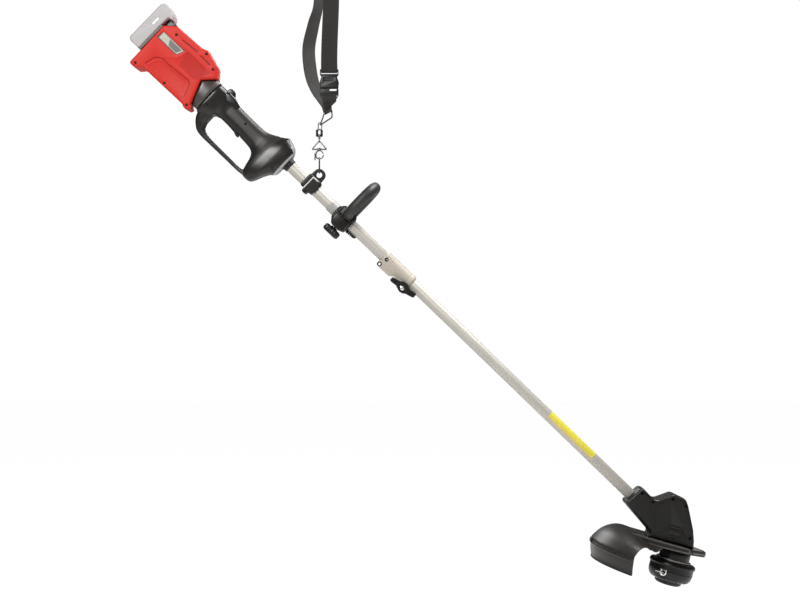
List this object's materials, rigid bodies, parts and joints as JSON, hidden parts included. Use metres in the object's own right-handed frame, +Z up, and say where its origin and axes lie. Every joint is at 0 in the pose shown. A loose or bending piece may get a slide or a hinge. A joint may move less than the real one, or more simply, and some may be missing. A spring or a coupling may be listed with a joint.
{
  "type": "cordless brush cutter",
  "caption": "Cordless string brush cutter hanging from a shoulder strap: battery, red housing, loop handles, two-part shaft, guard and bump-feed line head.",
  "frame": {"origin": "top of the shoulder strap's loop, where it is held up", "axes": "+Z up as the tool hangs, +X towards the cutting head, +Y to the left looking along the shaft"},
  "size_m": [1.3356, 0.318, 1.6226],
  "materials": {
    "black_plastic": "satin",
    "chromed_wire": "polished",
    "controller_metal": "matte",
    "cutting_line": "satin",
    "motor_steel": "satin",
    "neck_plastic": "matte",
    "pale_plastic": "satin",
    "red_plastic": "satin",
    "soft_black": "matte",
    "spool_plastic": "satin",
    "steel": "satin",
    "tube_metal": "satin",
    "webbing": "matte"
  },
  "bodies": {
    "harness": {"strap_webbing": "webbing", "buckle_socket": "black_plastic", "buckle_plug": "black_plastic"},
    "prong_left": {"buckle_prong_left": "black_plastic"},
    "prong_right": {"buckle_prong_right": "black_plastic"},
    "ring": {"strap_ring": "chromed_wire", "swivel_frame": "chromed_wire"},
    "hook": {"swivel_pin": "chromed_wire", "triangle_link": "chromed_wire", "snap_hook": "chromed_wire", "hook_link": "chromed_wire"},
    "gate": {"snap_gate": "chromed_wire"},
    "tool": {"housing_right": "red_plastic", "housing_left": "red_plastic", "controller": "controller_metal", "battery_rail": "black_plastic", "neck_collar": "neck_plastic", "handle_right": "black_plastic", "handle_left": "black_plastic", "trigger_pin": "steel", "trigger_switch": "black_plastic", "tube_ferrule": "soft_black", "upper_tube": "tube_metal", "harness_clamp": "black_plastic", "tube_spacer": "tube_metal", "coupler_sleeve": "tube_metal", "clamp_screw": "steel"},
    "battery": {"battery_cover": "pale_plastic", "battery_base": "pale_plastic", "battery_cells": "steel"},
    "latch": {"battery_latch": "black_plastic"},
    "trigger_lever": {"trigger": "black_plastic"},
    "lock_off": {"lock_off_button": "black_plastic"},
    "front_handle": {"loop_handle": "soft_black", "loop_bracket": "black_plastic", "loop_bolt": "steel", "cable_clip": "black_plastic"},
    "handle_knob": {"loop_knob": "black_plastic"},
    "wing_knob": {"clamp_wing": "black_plastic"},
    "pin_button": {"coupler_button": "steel"},
    "lower_shaft": {"lower_tube": "tube_metal", "head_right": "black_plastic", "head_left": "black_plastic", "guard": "black_plastic", "guard_skirt": "black_plastic", "skirt_clip": "black_plastic", "line_cutter": "steel", "motor_stator": "motor_steel", "lower_bearing": "steel"},
    "cutting_head": {"rotor": "steel", "spindle": "steel", "spool_cover": "black_plastic", "spool_cap": "black_plastic", "eyelet_1": "steel", "eyelet_2": "steel", "line_end_1": "cutting_line", "line_end_2": "cutting_line"},
    "bump": {"bump_knob": "black_plastic", "line_spool": "spool_plastic"}
  },
  "joints": [
    {"name": "prong_left_press", "type": "slide", "parent": "harness", "child": "prong_left", "axis": [1, 0, 0], "range_m": [0, 0.0025], "stiffness_N_per_m": 300},
    {"name": "prong_right_press", "type": "slide", "parent": "harness", "child": "prong_right", "axis": [-1, 0, 0], "range_m": [0, 0.0025], "stiffness_N_per_m": 300},
    {"name": "strap_ring_swing", "type": "hinge", "parent": "harness", "child": "ring", "pos_m": [0.0197, 0, -0.5165], "axis": [0.4323, 0.8344, 0.3418], "range_deg": [0, 15]},
    {"name": "swivel_turn", "type": "hinge", "parent": "ring", "child": "hook", "pos_m": [0, 0, -0.576], "axis": [0, 0, 1], "continuous": true},
    {"name": "snap_gate_swing", "type": "hinge", "parent": "hook", "child": "gate", "pos_m": [0.00313, 0, -0.60835], "axis": [0, 1, 0], "range_deg": [0, 30], "stiffness_Nm_per_rad": 0.02},
    {"name": "tool_tilt", "type": "hinge", "parent": "hook", "child": "tool", "pos_m": [0, 0, -0.66], "axis": [0, -1, 0], "range_deg": [-20, 20]},
    {"name": "battery_slide", "type": "slide", "parent": "tool", "child": "battery", "axis": [0.6947, 0, 0.7193], "range_m": [0, 0.075]},
    {"name": "battery_latch_press", "type": "slide", "parent": "tool", "child": "latch", "axis": [-0.6947, 0, -0.7193], "range_m": [0, 0.002], "stiffness_N_per_m": 800},
    {"name": "trigger_squeeze", "type": "hinge", "parent": "tool", "child": "trigger_lever", "pos_m": [-0.21955, 0, -0.52457], "axis": [0, -1, 0], "range_deg": [0, 7], "stiffness_Nm_per_rad": 0.3},
    {"name": "lock_off_press", "type": "slide", "parent": "tool", "child": "lock_off", "axis": [-0.6947, 0, -0.7193], "range_m": [0, 0.005], "stiffness_N_per_m": 400},
    {"name": "loop_handle_slide", "type": "slide", "parent": "tool", "child": "front_handle", "axis": [0.7193, 0, -0.6947], "range_m": [0, 0.07]},
    {"name": "loop_knob_turn", "type": "hinge", "parent": "front_handle", "child": "handle_knob", "pos_m": [0.02795, 0, -0.79486], "axis": [0.6947, 0, 0.7193], "range_deg": [0, 720]},
    {"name": "clamp_wing_turn", "type": "hinge", "parent": "tool", "child": "wing_knob", "pos_m": [0.19307, 0, -0.9279], "axis": [0, 1, 0], "range_deg": [0, 720]},
    {"name": "coupler_button_press", "type": "slide", "parent": "tool", "child": "pin_button", "axis": [0, 1, 0], "range_m": [0, 0.005], "stiffness_N_per_m": 600},
    {"name": "shaft_pull_out", "type": "slide", "parent": "tool", "child": "lower_shaft", "axis": [0.7193, 0, -0.6947], "range_m": [0, 0.15]},
    {"name": "cutting_head_spin", "type": "hinge", "parent": "lower_shaft", "child": "cutting_head", "pos_m": [0.83115, 0, -1.53789], "axis": [0.2588, 0, 0.9659], "continuous": true},
    {"name": "bump_knob_press", "type": "slide", "parent": "cutting_head", "child": "bump", "axis": [0.2588, 0, 0.9659], "range_m": [0, 0.008], "stiffness_N_per_m": 600}
  ]
}
